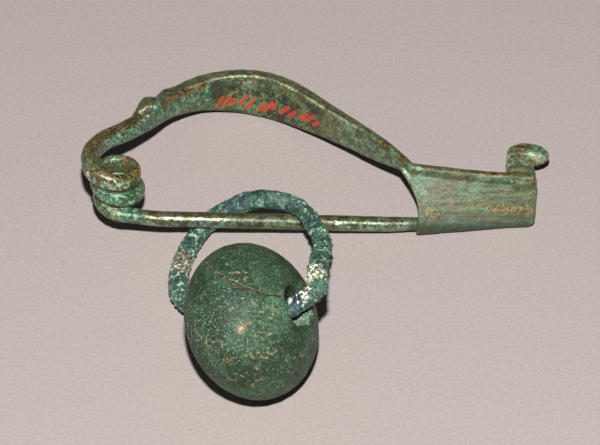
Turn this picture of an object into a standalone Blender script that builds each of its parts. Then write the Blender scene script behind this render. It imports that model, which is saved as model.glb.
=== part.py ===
"""A cast and hammered bronze bow fibula, lying on its side, with a loose ring on its pin and a glass
bead on the ring. Metres, +Z up, length along X; the whole lies on z = 0."""

from collections import namedtuple
from math import asin, atan2, copysign, cos, exp, hypot, pi, radians, sin, sqrt

import bmesh
import bpy
from mathutils import Matrix, Vector

MM = 0.001

# Gap left between two separate pieces where one touches the other
TOUCH_GAP = 0.3 * MM

# Pin: a straight wire from the coil to its point in the catch
PIN_DIAMETER = 2.7 * MM
PIN_LENGTH = 70.0 * MM
PIN_TAPER_LENGTH = 26.0 * MM
PIN_POINT_DIAMETER = 0.9 * MM
PIN_EASE_LENGTH = 6.5 * MM

# Coil: a one-sided spring. Its turns lean a little, and drift towards the catch on the way down
COIL_RADIUS = 3.62 * MM
COIL_RADIUS_UP = 3.15 * MM
COIL_WIRE_DEPTH = 1.9 * MM
COIL_PITCH = 3.1 * MM
COIL_TURNS = 2.25
COIL_END_RISE = 0.6 * MM
COIL_LEAN = 0.28
COIL_DRIFT = 0.85 * MM
COIL_SET_BACK = 0.3 * MM
COIL_CORNER = 3.0
COIL_SWELL_TURNS = 0.25
ROUND_CORNER = 2.0

# Bow: flat inner face, domed back, widest near its top
BOW_SPAN = 50.3 * MM
BOW_HEIGHT = 29.5 * MM
BOW_WIDTH = 8.2 * MM
BOW_INNER_DEPTH = 1.4 * MM
BOW_BACK_DEPTH = 1.9 * MM
HEAD_WIRE_DIAMETER = 3.2 * MM

# Moulding at the head of the bow: a stout collar, a groove and a thin collar
COLLAR_HEIGHT = 1.6 * MM
COLLAR_LENGTH = 2.6 * MM
COLLAR_PLACE = 0.14
THIN_COLLAR_HEIGHT = 0.6 * MM
THIN_COLLAR_LENGTH = 1.0 * MM
THIN_COLLAR_PLACE = 0.2

# Foot: a rounded rib that carries the catch plate and ends in an upright knob
FOOT_LENGTH = 22.1 * MM
RIB_HEIGHT_AT_BOW = 4.9 * MM
RIB_HEIGHT_AT_KNOB = 2.2 * MM
RIB_WIDTH = 1.8 * MM
PLATE_THICKNESS = 0.62 * MM
ROLL_GAP = 0.12 * MM
ROLL_WRAP = radians(215)
ROLL_RISE = 1.4 * MM
PLATE_START = 1.9 * MM
PLATE_SLANT = 3.5 * MM
SLANT_SHARE = 0.36
PLATE_CORNER = 1.5 * MM
CORNER_FROM = 0.45
CORNER_SHARE = 0.25
NECK_LENGTH = 5.0 * MM
NECK_WIDTH = 2.8 * MM
KNOB_HEIGHT = 10.2 * MM
KNOB_LENGTH = 7.6 * MM
KNOB_DEPTH = 4.8 * MM
KNOB_WIDTH = 3.9 * MM
KNOB_OVERHANG = 1.9 * MM
KNOB_DROOP = radians(6)

# Ring: a closed bronze loop that runs under the pin, over it and through the bead
RING_TUBE = 3.3 * MM
RING_REACH = 4.3 * MM
RING_BELLY = 2.6 * MM
RING_BELLY_DROP = 0.48
RING_DIP = 0.43 * MM
RING_CLIMB = 1.6 * MM
RING_LIFT_OVER_PIN = 0.35 * MM
RING_LIP_GAP = 0.45 * MM
RING_NEAR_LIP = 2.8 * MM
RING_OFF_LIP = 6.2 * MM
RING_IN_BORE = 7.6 * MM
RING_LEAN_IN = 0.7 * MM
RING_LEAN_OFF = 0.96 * MM
RING_LIP_LEAN = 0.8
RING_BACK_PLACES = (0.25, 0.62)
RING_BACK_START = 0.9
RING_BACK_DIP = 0.1
# Places along the ring's two sides, from the pin or the bead, and how far they belly out
RING_NEAR_BELLY = ((0.4, 1.0), (0.66, 0.6))
RING_FAR_BELLY = ((0.3, 1.35), (0.68, 1.2))
# The ring's width at each point of its route, as a share of its tube
RING_WIDTHS = (1.12, 1.2, 1.15, 0.92, 0.95, 1.0, 1.1, 1.05, 1.0, 1.0, 1.0, 0.95, 0.95, 1.05, 1.1)

# Bead: a flattened ball of glass with a wide bore, resting on a small flat
BEAD_DIAMETER = 26.5 * MM
BEAD_THICKNESS = 20.2 * MM
BEAD_BORE = 6.7 * MM
BEAD_LIP = 1.2 * MM
BEAD_FLAT_DEPTH = 0.12 * MM
BEAD_ALONG = 24.0 * MM
BEAD_FORWARD = 28.2 * MM
BEAD_AXIS_TURN = radians(-6.5)
BEAD_AXIS_RISE = radians(33)

# Where the ring crosses the pin, measured along the pin from the coil
UNDER_PIN = 14.8 * MM
OVER_PIN = 32.0 * MM

# How the fibula lies: turned a little on the ground, on its catch, its bow's edge and the ring
LYING_TURN = radians(2.9)

# Facets
WIRE_SIDES = 12
BOW_SIDES = 16
COIL_STEPS_PER_TURN = 20
PIN_STEPS = 16
BOW_STEPS = 34
FOOT_STEPS = 6
PLATE_STEPS_ALONG = 10
PLATE_STEPS_DOWN = 7
ROLL_STEPS = 11
RING_STEPS = 84
KNOB_SIDES = 16
KNOB_LEVELS = 10
BEAD_STEPS = 44
BEAD_LEVELS = 16
BORE_LEVELS = 5
LIP_STEPS = 3
SPLINE_STEPS = 16
RESTING_STEPS = 25

# One station of the bow: place along and above the pin as shares of the bow's span and height,
# width as a share of the bow's, depths inside and outside the centre line as shares of the bow's
# own, and how square its corners are (2 is an ellipse)
Station = namedtuple("Station", "along above width inner back corner")

HEAD_WIDTH = HEAD_WIRE_DIAMETER / BOW_WIDTH
HEAD_INNER = HEAD_WIRE_DIAMETER / 2 / BOW_INNER_DEPTH
HEAD_BACK = HEAD_WIRE_DIAMETER / 2 / BOW_BACK_DEPTH
BOW_STATIONS = (
    Station(-0.077, 0.24, HEAD_WIDTH, HEAD_INNER, HEAD_BACK, 2.8),
    Station(-0.028, 0.385, HEAD_WIDTH, HEAD_INNER, HEAD_BACK, 3.0),
    Station(0.05, 0.5, HEAD_WIDTH * 1.05, HEAD_INNER, HEAD_BACK, 3.0),
    Station(0.125, 0.635, HEAD_WIDTH * 1.12, HEAD_INNER, HEAD_BACK, 3.0),
    Station(0.205, 0.815, 0.58, 1.0, 0.85, 4.5),
    Station(0.315, 0.955, 0.74, 1.0, 1.0, 7.0),
    Station(0.43, 1.0, 0.92, 1.0, 1.0, 8.0),
    Station(0.53, 0.975, 1.0, 1.0, 1.0, 8.0),
    Station(0.63, 0.875, 0.95, 1.0, 1.0, 8.0),
    Station(0.775, 0.63, 0.70, 0.9, 0.8, 7.0),
    Station(0.92, 0.355, 0.54, 0.7, 0.65, 4.0),
)

# Where the rib's centre line is fixed, as shares of the foot's length
RIB_PLACES = (0.03, 0.3, 0.65, 0.97)

# The neck's rings: height as a share of its own, below and above the rib, and length and width there
NECK_RINGS = (
    (-0.75, 0.84, 0.2), (-0.4, 0.93, 0.35), (-0.1, 0.98, 0.65),
    (0.2, 1.0, 1.0), (0.5, 0.97, 1.0), (0.8, 0.93, 0.95), (1.0, 0.8, 0.8),
)


def smoothed(keys, count):
    """Rows spaced evenly along a Catmull-Rom curve through the keys; a row starts with its point."""
    before = [2 * a - b for a, b in zip(keys[0], keys[1])]
    after = [2 * a - b for a, b in zip(keys[-1], keys[-2])]
    padded = [before, *keys, after]
    fine = []
    for p0, p1, p2, p3 in zip(padded, padded[1:], padded[2:], padded[3:]):
        for step in range(SPLINE_STEPS):
            u = step / SPLINE_STEPS
            fine.append([
                b + 0.5 * u * (c - a + u * (2 * a - 5 * b + 4 * c - d + u * (3 * b - a - 3 * c + d)))
                for a, b, c, d in zip(p0, p1, p2, p3)
            ])
    fine.append(list(keys[-1]))
    return spaced(fine, count)


def spaced(rows, count):
    """The rows read again at even distances; the first three numbers of a row are its point."""
    lengths = [0.0]
    for a, b in zip(rows, rows[1:]):
        lengths.append(lengths[-1] + hypot(*(q - p for p, q in zip(a[:3], b[:3]))))
    values = []
    segment = 0
    for index in range(count):
        target = lengths[-1] * index / (count - 1)
        while segment < len(rows) - 2 and lengths[segment + 1] < target:
            segment += 1
        share = (target - lengths[segment]) / (lengths[segment + 1] - lengths[segment])
        share = min(1.0, max(0.0, share))
        values.append([p + (q - p) * share for p, q in zip(rows[segment], rows[segment + 1])])
    return values


def eased(share):
    """0 to 1 with level ends."""
    share = min(1.0, max(0.0, share))
    return share * share * (3 - 2 * share)


def coil_point(angle):
    """A point of the coil's centre line; the angle grows from the bow's wire to the pin."""
    above = COIL_RADIUS_UP * (1 + sin(angle))
    last = pi + 2 * pi * COIL_TURNS
    level = COIL_END_RISE + COIL_PITCH * (last - angle) / (2 * pi) + COIL_LEAN * above
    drift = COIL_DRIFT * (angle - pi) / (2 * pi)
    return Vector((COIL_RADIUS * cos(angle) + drift - COIL_SET_BACK, above, level))


def coil_end():
    """Where along the pin the coil's last turn runs out into it."""
    return COIL_DRIFT * COIL_TURNS - COIL_SET_BACK


def bow_level():
    """Sideways distance of the bow from the pin: the coil's own."""
    return coil_point(pi).z


def catch_direction(share):
    """Unit direction from the pin to the foot's rib, across the pin."""
    return Vector((0, rib_height(share), bow_level())).normalized()


def rib_height(share):
    """Height of the foot's rib over the pin; it dips quickly behind the bow, then runs level."""
    return RIB_HEIGHT_AT_KNOB + (RIB_HEIGHT_AT_BOW - RIB_HEIGHT_AT_KNOB) * (1 - share) ** 2


def pin_diameter(along):
    taper = eased((PIN_LENGTH - along) / PIN_TAPER_LENGTH)
    return PIN_POINT_DIAMETER + (PIN_DIAMETER - PIN_POINT_DIAMETER) * taper


def pin_point(along):
    """The pin's centre line: it comes down off the coil and lifts a little inside the catch."""
    down = COIL_END_RISE * (1 - eased((along - coil_end()) / PIN_EASE_LENGTH))
    lift = ROLL_RISE * max(0.0, along - BOW_SPAN) / FOOT_LENGTH
    return Vector((along, 0, down)) + catch_direction(1) * lift


def collar_swell(along):
    """How far the moulding stands out of the back and the upper side of the bow's head."""
    def hump(place, length):
        return exp(-((along - place * BOW_SPAN) / (length / 2)) ** 2)

    return COLLAR_HEIGHT * hump(COLLAR_PLACE, COLLAR_LENGTH) + THIN_COLLAR_HEIGHT * hump(
        THIN_COLLAR_PLACE, THIN_COLLAR_LENGTH
    )


def fibula_rows():
    """Point, width, inner depth, back depth and corner of the one-piece wire, point of pin to foot."""
    rows = []
    for index in range(PIN_STEPS + 1):
        along = coil_end() + (PIN_LENGTH - coil_end()) * (1 - index / PIN_STEPS) ** 2
        size = pin_diameter(along)
        rows.append((*pin_point(along), size, size / 2, size / 2, ROUND_CORNER))
    steps = round(COIL_STEPS_PER_TURN * COIL_TURNS)
    for index in range(1, steps):
        share = index / steps
        angle = pi + 2 * pi * COIL_TURNS * (1 - share)
        width = PIN_DIAMETER + (HEAD_WIRE_DIAMETER - PIN_DIAMETER) * share
        depth = PIN_DIAMETER + (COIL_WIRE_DEPTH - PIN_DIAMETER) * eased(4 * share)
        swell = eased(1 - (1 - share) * COIL_TURNS / COIL_SWELL_TURNS)
        depth += (HEAD_WIRE_DIAMETER - COIL_WIRE_DEPTH) * swell
        corner = ROUND_CORNER + (COIL_CORNER - ROUND_CORNER) * eased(2 * share)
        rows.append((*coil_point(angle), width, depth / 2, depth / 2, corner))
    keys = [
        (
            s.along * BOW_SPAN, s.above * BOW_HEIGHT, bow_level(),
            s.width * BOW_WIDTH, s.inner * BOW_INNER_DEPTH, s.back * BOW_BACK_DEPTH, s.corner,
        )
        for s in BOW_STATIONS
    ]
    start = (*coil_point(pi), HEAD_WIRE_DIAMETER, HEAD_WIRE_DIAMETER / 2, HEAD_WIRE_DIAMETER / 2, COIL_CORNER)
    rib = (RIB_WIDTH, RIB_WIDTH / 2, RIB_WIDTH / 2, 2.4)
    foot = [(BOW_SPAN + FOOT_LENGTH * share, rib_height(share), bow_level(), *rib) for share in RIB_PLACES]
    return rows + smoothed([start, *keys, foot[0]], BOW_STEPS) + smoothed(foot, FOOT_STEPS)[1:]


def section_ring(bm, row, side, out, sides):
    """One ring of vertices: flat inside, domed on the back, with the moulding's swelling."""
    point = Vector(row[:3])
    width, inner, back, corner = row[3:7]
    swell = collar_swell(point.x) if point.y > BOW_HEIGHT / 2 else 0.0
    ring = []
    for index in range(sides):
        angle = 2 * pi * index / sides
        across = copysign(abs(cos(angle)) ** (2 / corner), cos(angle))
        up = sin(angle) if sin(angle) > 0 else -abs(sin(angle)) ** (2 / corner)
        lift = (back + swell) if up > 0 else inner
        reach = width / 2 + (swell if across > 0 else 0.0)
        ring.append(bm.verts.new(point + side * (across * reach) + out * (up * lift)))
    return ring


def swept(bm, rows, side_of, sides, closed=False):
    """A tube of rings through the rows; side_of gives the wanted sideways direction at a row."""
    points = [Vector(row[:3]) for row in rows]
    rings = []
    for index, row in enumerate(rows):
        if closed:
            tangent = points[(index + 1) % len(points)] - points[index - 1]
        else:
            tangent = points[min(index + 1, len(points) - 1)] - points[max(index - 1, 0)]
        tangent.normalize()
        wanted = side_of(index)
        side = (wanted - tangent * wanted.dot(tangent)).normalized()
        rings.append(section_ring(bm, row, side, side.cross(tangent), sides))
    pairs = list(zip(rings, rings[1:]))
    if closed:
        pairs.append((rings[-1], rings[0]))
    for one, two in pairs:
        for k in range(sides):
            bm.faces.new((one[k], one[(k + 1) % sides], two[(k + 1) % sides], two[k]))
    if not closed:
        bm.faces.new(rings[0])
        bm.faces.new(rings[-1])


def plate_section(share):
    """Centre line and normals of the catch plate across the pin, from the rib round the pin."""
    along = BOW_SPAN + FOOT_LENGTH * share
    centre = pin_point(along)
    top = Vector((along, rib_height(share), bow_level())) - centre
    radius = pin_diameter(min(along, PIN_LENGTH)) / 2 + ROLL_GAP + PLATE_THICKNESS / 2
    straight = sqrt(top.length_squared - radius**2)
    heading = atan2(top.z, top.y) - atan2(radius, straight)
    upward = Vector((0, cos(heading), sin(heading)))
    facing = Vector((0, -sin(heading), cos(heading)))
    rows = []
    for step in range(PLATE_STEPS_DOWN):
        down = step / PLATE_STEPS_DOWN
        rows.append((centre + facing * radius + upward * straight * (1 - down), facing, down / 2))
    for step in range(ROLL_STEPS + 1):
        turned = step / ROLL_STEPS
        direction = facing * cos(ROLL_WRAP * turned) - upward * sin(ROLL_WRAP * turned)
        rows.append((centre + direction * radius, direction, (1 + turned) / 2))
    return rows


def plate_edge(down):
    """Shares along the foot where the plate starts and ends, at a height down its face."""
    slant = PLATE_SLANT * max(0.0, 1 - down / SLANT_SHARE) ** 1.5
    corner = PLATE_CORNER * min(1.0, max(0.0, (down - CORNER_FROM) / CORNER_SHARE)) ** 2
    return (PLATE_START - slant) / FOOT_LENGTH, 1 - corner / FOOT_LENGTH


def catch_plate():
    bm = bmesh.new()
    downs = [row[2] for row in plate_section(0)]
    grid = []
    for level, down in enumerate(downs):
        start, end = plate_edge(down)
        line = []
        for step in range(PLATE_STEPS_ALONG + 1):
            share = start + (end - start) * step / PLATE_STEPS_ALONG
            centre, facing, _ = plate_section(share)[level]
            half = facing * (PLATE_THICKNESS / 2)
            line.append((bm.verts.new(centre + half), bm.verts.new(centre - half)))
        grid.append(line)
    for upper, lower in zip(grid, grid[1:]):
        for (a, a2), (b, b2), (c, c2), (d, d2) in zip(upper, upper[1:], lower[1:], lower):
            bm.faces.new((a, b, c, d))
            bm.faces.new((d2, c2, b2, a2))
    rim = grid[0] + [line[-1] for line in grid[1:]] + grid[-1][-2::-1] + [line[0] for line in grid[-2:0:-1]]
    for (a, a2), (b, b2) in zip(rim, rim[1:] + rim[:1]):
        bm.faces.new((b, a, a2, b2))
    return mesh_object("catch plate", bm)


def knob():
    """The upright end of the foot: a neck that grows out of the plate, under an egg-shaped head."""
    base = Vector((BOW_SPAN + FOOT_LENGTH - NECK_LENGTH / 2, rib_height(1), bow_level()))
    tall = KNOB_HEIGHT - KNOB_DEPTH / 4 - rib_height(1)
    rings = []
    bm = bmesh.new()
    for share, length, width in NECK_RINGS:
        away = Vector((0, 1, 0)) if share > 0 else catch_direction(1)
        centre = base + away * (share * tall)
        ring = []
        for step in range(KNOB_SIDES):
            angle = 2 * pi * step / KNOB_SIDES
            across = away.cross(Vector((1, 0, 0))) * (sin(angle) * NECK_WIDTH / 2 * width)
            ring.append(bm.verts.new(centre - across + Vector((cos(angle) * NECK_LENGTH / 2 * length, 0, 0))))
        rings.append(ring)
    for one, two in zip(rings, rings[1:]):
        for k in range(KNOB_SIDES):
            after = (k + 1) % KNOB_SIDES
            bm.faces.new((one[k], one[after], two[after], two[k]))
    bm.faces.new(rings[0])
    bm.faces.new(rings[-1])
    neck = mesh_object("neck", bm)
    bm = bmesh.new()
    bmesh.ops.create_uvsphere(bm, u_segments=KNOB_SIDES, v_segments=KNOB_LEVELS, radius=0.5)
    bm.transform(Matrix.Rotation(pi / 2, 4, "Y"))
    bm.transform(Matrix.Diagonal((KNOB_LENGTH, KNOB_DEPTH, KNOB_WIDTH, 1)))
    bm.transform(Matrix.Rotation(-KNOB_DROOP, 4, "Z"))
    bm.transform(Matrix.Translation(base + Vector((KNOB_OVERHANG, KNOB_HEIGHT - rib_height(1), 0))))
    return neck, mesh_object("head", bm)


def mesh_object(name, bm):
    bmesh.ops.recalc_face_normals(bm, faces=bm.faces)
    mesh = bpy.data.meshes.new(name)
    bm.to_mesh(mesh)
    bm.free()
    made = bpy.data.objects.new(name, mesh)
    bpy.context.scene.collection.objects.link(made)
    return made


def united(name, first, *others):
    """One closed mesh made of several that overlap."""
    for other in others:
        union = first.modifiers.new("union", "BOOLEAN")
        union.operation = "UNION"
        union.object = other
    bpy.context.view_layer.update()
    graph = bpy.context.evaluated_depsgraph_get()
    mesh = bpy.data.meshes.new_from_object(first.evaluated_get(graph))
    for piece in (first, *others):
        bpy.data.objects.remove(piece)
    mesh.name = name
    made = bpy.data.objects.new(name, mesh)
    bpy.context.scene.collection.objects.link(made)
    return made


def material(name, colour, roughness, metallic):
    made = bpy.data.materials.new(name)
    made.use_nodes = True
    shader = made.node_tree.nodes["Principled BSDF"]
    shader.inputs["Base Color"].default_value = (*colour, 1)
    shader.inputs["Roughness"].default_value = roughness
    shader.inputs["Metallic"].default_value = metallic
    made.diffuse_color = (*colour, 1)
    return made


def finish(piece, surface, sharp_from):
    piece.data.materials.clear()
    piece.data.materials.append(surface)
    piece.data.shade_smooth()
    piece.data.set_sharp_from_angle(angle=sharp_from)


def make_fibula():
    bm = bmesh.new()
    sideways = Vector((0, 0, 1))
    swept(bm, fibula_rows(), lambda index: sideways, BOW_SIDES)
    wire = mesh_object("wire", bm)
    fibula = united("fibula", wire, catch_plate(), *knob())
    finish(fibula, material("patinated_bronze", (0.16, 0.22, 0.13), 0.5, 0.55), radians(40))
    return fibula


def pose(tilt, lean):
    """The fibula's place for a tilt along its length and a lean of its bow, its pin on the ring."""
    pin_height = RING_DIP + RING_TUBE + TOUCH_GAP + PIN_DIAMETER / 2
    return (
        Matrix.Translation((0, 0, pin_height))
        @ Matrix.Rotation(LYING_TURN, 4, "Z")
        @ Matrix.Rotation(tilt, 4, "Y")
        @ Matrix.Rotation(-lean, 4, "X")
        @ Matrix.Translation((-UNDER_PIN, 0, 0))
    )


def lying_pose(fibula):
    """The pose in which both the catch and the bow's lower edge just meet the ground."""
    points = [vertex.co for vertex in fibula.data.vertices]
    catch = [point for point in points if point.x > BOW_SPAN and point.y < BOW_HEIGHT / 2]
    bow = [point for point in points if point.y > BOW_HEIGHT / 2]
    tilt = lean = 0.0
    for _ in range(RESTING_STEPS):
        placed = pose(tilt, lean)
        lean += min((placed @ point).z for point in bow) / BOW_HEIGHT
        tilt += min((placed @ point).z for point in catch) / (BOW_SPAN + FOOT_LENGTH - UNDER_PIN)
    return pose(tilt, lean)


def bead_axis():
    return Vector((
        cos(BEAD_AXIS_RISE) * cos(BEAD_AXIS_TURN), cos(BEAD_AXIS_RISE) * sin(BEAD_AXIS_TURN), sin(BEAD_AXIS_RISE)))


def bead_pose():
    """The bead leans on its rim: its centre is as high as an egg-shaped solid at that tilt stands."""
    tall = BEAD_DIAMETER / 2 * cos(BEAD_AXIS_RISE)
    height = hypot(tall, BEAD_THICKNESS / 2 * sin(BEAD_AXIS_RISE)) - BEAD_FLAT_DEPTH
    centre = Vector((BEAD_ALONG - UNDER_PIN, -BEAD_FORWARD, height))
    return Matrix.Translation(centre) @ bead_axis().to_track_quat("Z", "Y").to_matrix().to_4x4()


def make_bead():
    """A turned profile from the bore over the outside and back, spun about the bore."""
    half = BEAD_THICKNESS / 2
    bore = BEAD_BORE / 2
    rim = bore + BEAD_LIP
    reach = BEAD_DIAMETER / 2
    first = asin(rim / reach)
    profile = []
    for step in range(BEAD_LEVELS + 1):
        angle = first + (pi - 2 * first) * step / BEAD_LEVELS
        profile.append((reach * sin(angle), half * cos(angle)))
    top = profile[0][1]
    lip = [
        (rim - BEAD_LIP * sin(pi / 2 * step / LIP_STEPS), top - BEAD_LIP * (1 - cos(pi / 2 * step / LIP_STEPS)))
        for step in range(1, LIP_STEPS + 1)
    ]
    profile += [(r, -z) for r, z in lip]
    profile += [(bore, (2 * step / BORE_LEVELS - 1) * lip[-1][1]) for step in range(1, BORE_LEVELS)]
    profile += reversed(lip)
    bm = bmesh.new()
    rings = []
    for step in range(BEAD_STEPS):
        angle = 2 * pi * step / BEAD_STEPS
        rings.append([bm.verts.new((r * cos(angle), r * sin(angle), z)) for r, z in profile])
    for one, two in zip(rings, rings[1:] + rings[:1]):
        for k in range(len(profile)):
            after = (k + 1) % len(profile)
            bm.faces.new((one[k], one[after], two[after], two[k]))
    placed = bead_pose()
    ground = placed.inverted()
    cut = bmesh.ops.bisect_plane(
        bm, geom=[*bm.verts, *bm.edges, *bm.faces], plane_co=ground @ Vector((0, 0, 0)),
        plane_no=ground.to_3x3() @ Vector((0, 0, 1)), clear_inner=True)
    bmesh.ops.contextual_create(bm, geom=[e for e in cut["geom_cut"] if isinstance(e, bmesh.types.BMEdge)])
    bead = mesh_object("bead", bm)
    bead.matrix_world = placed
    finish(bead, material("weathered_glass", (0.03, 0.09, 0.055), 0.45, 0.0), radians(30))
    return bead


def over_bead(side, reach, toward):
    """A point of the ring just off the bead's end, a distance from the bore towards a point."""
    axis = bead_axis() * side
    centre = bead_pose().translation
    away = toward - centre
    away -= axis * away.dot(axis)
    level = BEAD_THICKNESS / 2 * sqrt(1 - (2 * reach / BEAD_DIAMETER) ** 2)
    return centre + axis * (level + RING_TUBE / 2 + RING_LIP_GAP) + away.normalized() * reach


def bellied(start, end, share, out):
    """A point between two others, swung outward along X and dropped a little."""
    return start.lerp(end, share) + Vector((out, 0, -abs(out) * RING_BELLY_DROP))


def ring_route(placed):
    """Points of the ring's centre line in the world and its width there, in order round the loop."""
    clear = RING_TUBE / 2 + TOUCH_GAP + PIN_DIAMETER / 2
    under = placed @ Vector((UNDER_PIN, 0, 0)) - Vector((0, 0, clear))
    over = placed @ Vector((OVER_PIN, 0, 0)) + Vector((0, 0, clear + RING_LIFT_OVER_PIN))
    axis = bead_axis()
    centre = bead_pose().translation
    slack = (BEAD_BORE - RING_TUBE) / 2 - TOUCH_GAP
    sag = Vector((axis.z, 0, -axis.x)) * slack
    ahead = over - under
    back = Vector((0, RING_REACH, 0))
    leaning = axis * RING_LEAN_OFF - Vector((RING_LEAN_IN, 0, 0))
    near = over_bead(1, RING_OFF_LIP, over) + leaning
    far = over_bead(-1, RING_OFF_LIP, under) - axis * TOUCH_GAP
    early, late = RING_BACK_PLACES
    route = [
        under,
        under + ahead * early + back * RING_BACK_START - Vector((0, 0, ahead.z * RING_BACK_DIP)),
        under + ahead * late + back + Vector((0, -RING_CLIMB, RING_CLIMB)),
        over,
        *(bellied(over, near, share, RING_BELLY * out) for share, out in RING_NEAR_BELLY),
        near,
        over_bead(1, RING_NEAR_LIP, over) + leaning * RING_LIP_LEAN,
        centre + axis * RING_IN_BORE,
        centre + sag,
        centre - axis * RING_IN_BORE,
        over_bead(-1, RING_NEAR_LIP, under),
        far,
        *(bellied(far, under, share, -RING_BELLY * out) for share, out in RING_FAR_BELLY),
    ]
    return [(*point, share) for point, share in zip(route, RING_WIDTHS, strict=True)]


def make_ring(placed):
    keys = ring_route(placed)
    rows = smoothed([*keys[-2:], *keys, *keys[:2]], RING_STEPS * SPLINE_STEPS)
    loop = one_round(rows, Vector(keys[0][:3]))
    points = [Vector(row[:3]) for row in loop]
    centre = sum(points, Vector()) / len(points)
    bm = bmesh.new()
    sized = [(*row[:3], RING_TUBE * row[3], RING_TUBE / 2, RING_TUBE / 2, ROUND_CORNER) for row in loop]
    swept(bm, sized, lambda index: points[index] - centre, WIRE_SIDES, closed=True)
    ring = mesh_object("ring", bm)
    finish(ring, material("corroded_bronze", (0.09, 0.22, 0.19), 0.7, 0.2), radians(40))
    return ring


def one_round(rows, start):
    """One round of a curve that passes its start twice, spaced evenly."""
    def nearest(part):
        return min(part, key=lambda i: (Vector(rows[i][:3]) - start).length)

    half = len(rows) // 2
    return spaced(rows[nearest(range(half)) : nearest(range(half, len(rows))) + 1], RING_STEPS + 1)[:-1]


def settle(pieces):
    """Moves all pieces together until the whole box is centred on the origin and lies on z = 0."""
    bpy.context.view_layer.update()
    corners = [piece.matrix_world @ vertex.co for piece in pieces for vertex in piece.data.vertices]
    low = Vector([min(corner[k] for corner in corners) for k in range(3)])
    high = Vector([max(corner[k] for corner in corners) for k in range(3)])
    shift = Vector((-(low.x + high.x) / 2, -(low.y + high.y) / 2, -low.z))
    for piece in pieces:
        piece.matrix_world = Matrix.Translation(shift) @ piece.matrix_world


def main():
    for thing in list(bpy.data.objects):
        bpy.data.objects.remove(thing)
    fibula = make_fibula()
    placed = lying_pose(fibula)
    fibula.matrix_world = placed
    settle([fibula, make_ring(placed), make_bead()])


main()
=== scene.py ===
"""Looks of the bronze bow fibula: patina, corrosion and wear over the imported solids, with the loose
ring and the glass bead, on a plain pale floor lit by a small flash. Metres, +Z up."""

from math import cos, pi, radians, sin

import bmesh
import bpy
import numpy as np
from mathutils import Euler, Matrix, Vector, noise


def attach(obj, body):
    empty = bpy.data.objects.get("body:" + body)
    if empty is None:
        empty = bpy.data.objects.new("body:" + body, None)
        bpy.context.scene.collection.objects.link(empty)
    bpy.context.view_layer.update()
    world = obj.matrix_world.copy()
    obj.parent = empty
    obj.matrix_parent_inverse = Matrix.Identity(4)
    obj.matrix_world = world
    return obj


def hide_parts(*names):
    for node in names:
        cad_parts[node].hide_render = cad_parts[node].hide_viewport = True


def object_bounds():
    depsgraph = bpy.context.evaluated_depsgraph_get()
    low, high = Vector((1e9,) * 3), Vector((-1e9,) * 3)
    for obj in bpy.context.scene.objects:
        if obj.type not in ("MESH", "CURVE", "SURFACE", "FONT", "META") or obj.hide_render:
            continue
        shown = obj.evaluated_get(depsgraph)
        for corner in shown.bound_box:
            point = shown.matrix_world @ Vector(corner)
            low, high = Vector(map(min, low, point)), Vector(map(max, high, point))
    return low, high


MM = 0.001

# Where the fibula lies: its own frame has x along the pin from the coil, y up to the bow
FIBULA_PLACE = (-34.814 * MM, 3.114 * MM, 6.783 * MM)
FIBULA_TURN = Euler((radians(-16.8012), radians(5.4391), radians(2.9)), "XYZ")

# The bead: its centre and the direction of its bore
BEAD_CENTRE = (-10.899 * MM, -24.341 * MM, 12.279 * MM)
BEAD_AXIS = (0.83328, -0.09494, 0.54464)

# The ring's middle line, in mm, from under the pin over its back to the bead and round again
RING_LINE = (
    (-20.1, 3.9, 2.1), (-15.8, 8.0, 2.9), (-9.5, 7.1, 7.0), (-3.0, 4.7, 7.4), (0.7, -5.0, 10.3),
    (0.4, -11.3, 13.4), (-0.2, -19.6, 17.7), (-0.2, -22.9, 18.7), (-4.6, -25.1, 16.4),
    (-10.1, -24.3, 11.1), (-17.2, -23.6, 8.1), (-20.5, -20.4, 5.6), (-19.4, -17.2, 5.8),
    (-23.1, -10.8, 3.0), (-23.0, -2.9, 1.8))

# Grain of the dressed meshes, how often each is evened out, how far a pass goes in and out again, and
# how near two points of a solid are to be one
FIBULA_VOXEL = 0.2 * MM
FIBULA_ROUNDS = 9
RING_VOXEL = 0.13 * MM
RING_ROUNDS = 10
BEAD_VOXEL = 0.2 * MM
BEAD_ROUNDS = 16
PASS_IN = 0.5
PASS_OUT = -0.47
SAME_POINT = 1e-7

# How far each seed moves a noise, in its own largest lumps, and how its finer lumps follow
SEED_STEPS = (7.31, 3.17, 5.77)
LUMP_FADE = 0.9
LUMP_STEP = 2.0


# Numbers over many points
def smoothstep(low, high, x):
    """0 at low, 1 at high, eased between; low may be over high."""
    t = np.clip((x - low) / (high - low), 0, 1)
    return t * t * (3 - 2 * t)


def seed_shift(seed):
    return Vector([seed * step for step in SEED_STEPS])


def fractal(points, size, octaves, seed):
    """Fractal noise, about -1 to 1, at points; size is the length of its largest lumps."""
    shift = seed_shift(seed)
    return np.array(
        [noise.fractal(Vector(p) + shift, LUMP_FADE, LUMP_STEP, octaves) for p in points / size])


def cells(points, size, seed):
    """Distance to the nearest random site over the sites' spacing, at points."""
    shift = seed_shift(seed)
    return np.array([noise.voronoi(Vector(p) + shift)[0][0] for p in points / size])


def line_distance(points, path):
    """Distance of points from a path of straight runs, and the length along it there."""
    best = np.full(len(points), np.inf)
    where = np.zeros(len(points))
    behind = 0.0
    for start, end in zip(path, path[1:]):
        start, end = np.array(start, float), np.array(end, float)
        length = np.linalg.norm(end - start)
        along = np.clip(((points - start) @ (end - start)) / length**2, 0, 1)
        far = np.linalg.norm(points - start - along[:, None] * (end - start), axis=1)
        where = np.where(far < best, behind + along * length, where)
        best = np.minimum(best, far)
        behind += length
    return best, where


def field(points, *blobs):
    """1 in the middle of each blob, 0 at its skin and below 0 outside: (centre, radii) in mm."""
    best = np.full(len(points), -1.0)
    for centre, radii in blobs:
        near = 1 - np.linalg.norm((points / MM - centre) / radii, axis=1)
        best = np.maximum(best, near)
    return best


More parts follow.
